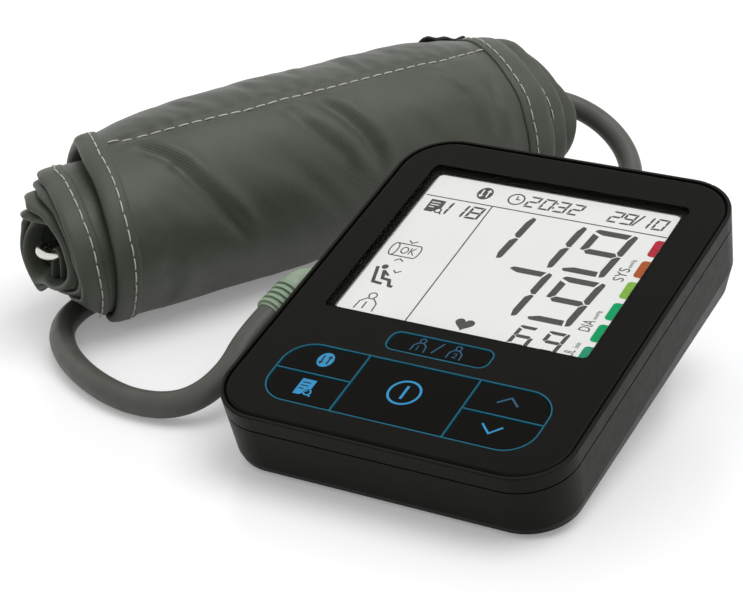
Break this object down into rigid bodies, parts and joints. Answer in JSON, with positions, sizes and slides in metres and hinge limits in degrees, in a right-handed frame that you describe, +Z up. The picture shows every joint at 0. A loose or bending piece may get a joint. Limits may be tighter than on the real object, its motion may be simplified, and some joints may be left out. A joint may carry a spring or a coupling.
{
  "type": "blood pressure monitor",
  "caption": "Upper arm blood pressure monitor with a sloping display panel, press keys, a battery door, a plug-in air hose and a rolled fabric cuff.",
  "frame": {"origin": "on the table, below the middle of the front panel, on the flat bottom of the battery hump", "axes": "+X to the right of the display, +Y to the display's top edge along the table, +Z up"},
  "size_m": [0.2308, 0.2537, 0.0621],
  "materials": {
    "body_plastic": "satin black",
    "panel_plastic": "smooth black",
    "lens_clear": "clear",
    "lcd_glass": "pale reflective display",
    "inner_plastic": "moulded natural",
    "board_resin": "coated board",
    "membrane_rubber": "silicone",
    "trim_blue": "glossy blue",
    "key_plastic": "glossy black",
    "screw_steel": "zinc plated",
    "foot_rubber": "soft black",
    "cell_jacket": "plain jacket",
    "contact_steel": "plated",
    "plug_plastic": "pale sage",
    "plug_rubber": "pale sage",
    "hose_rubber": "satin dark grey",
    "cuff_fabric": "woven nylon",
    "bladder_rubber": "soft",
    "ring_steel": "polished wire"
  },
  "bodies": {
    "monitor": {"top_housing": "body_plastic", "bottom_housing": "body_plastic", "front_panel": "panel_plastic", "display_lens": "lens_clear", "lcd_module": "lcd_glass", "lcd_frame": "inner_plastic", "main_board": "board_resin", "keypad_membrane": "membrane_rubber", "key_frame": "trim_blue", "user_key_ring": "trim_blue", "board_screws": "screw_steel", "housing_screws": "screw_steel", "rubber_feet": "foot_rubber", "batteries": "cell_jacket", "battery_contacts": "contact_steel", "air_socket": "body_plastic", "air_cross": "inner_plastic", "air_tubes": "membrane_rubber", "pressure_sensor": "inner_plastic", "release_valve": "contact_steel", "pump_head": "inner_plastic", "pump_motor": "contact_steel", "pump_cushion": "foot_rubber"},
    "transfer_key": {"key_transfer": "key_plastic"},
    "memory_key": {"key_memory": "key_plastic"},
    "start_stop_key": {"key_start_stop": "key_plastic"},
    "up_key": {"key_up": "key_plastic"},
    "down_key": {"key_down": "key_plastic"},
    "user_key": {"key_user": "key_plastic"},
    "door": {"battery_door": "body_plastic"},
    "cuff_set": {"air_connector": "plug_plastic", "strain_relief": "plug_rubber", "hose": "hose_rubber", "hose_nipple": "inner_plastic", "cuff_outer_fabric": "cuff_fabric", "cuff_bladder": "bladder_rubber", "cuff_lining": "cuff_fabric", "cuff_inner_turns": "cuff_fabric", "cuff_slip_ring": "ring_steel"}
  },
  "joints": [
    {"name": "transfer_press", "type": "slide", "parent": "monitor", "child": "transfer_key", "axis": [0, 0.2756, -0.9613], "range_m": [0, 0.0008], "stiffness_N_per_m": 1500, "springref_m": -0.0004},
    {"name": "memory_press", "type": "slide", "parent": "monitor", "child": "memory_key", "axis": [0, 0.2756, -0.9613], "range_m": [0, 0.0008], "stiffness_N_per_m": 1500, "springref_m": -0.0004},
    {"name": "start_stop_press", "type": "slide", "parent": "monitor", "child": "start_stop_key", "axis": [0, 0.2756, -0.9613], "range_m": [0, 0.0008], "stiffness_N_per_m": 1500, "springref_m": -0.0004},
    {"name": "up_press", "type": "slide", "parent": "monitor", "child": "up_key", "axis": [0, 0.2756, -0.9613], "range_m": [0, 0.0008], "stiffness_N_per_m": 1500, "springref_m": -0.0004},
    {"name": "down_press", "type": "slide", "parent": "monitor", "child": "down_key", "axis": [0, 0.2756, -0.9613], "range_m": [0, 0.0008], "stiffness_N_per_m": 1500, "springref_m": -0.0004},
    {"name": "user_press", "type": "slide", "parent": "monitor", "child": "user_key", "axis": [0, 0.2756, -0.9613], "range_m": [0, 0.0008], "stiffness_N_per_m": 1500, "springref_m": -0.0004},
    {"name": "door_hinge", "type": "hinge", "parent": "monitor", "child": "door", "pos_m": [0, 0.006, 0.0014], "axis": [-1, 0, 0], "range_deg": [0, 75]},
    {"name": "plug_pull", "type": "slide", "parent": "monitor", "child": "cuff_set", "axis": [-1, 0, 0], "range_m": [0, 0.012]}
  ]
}
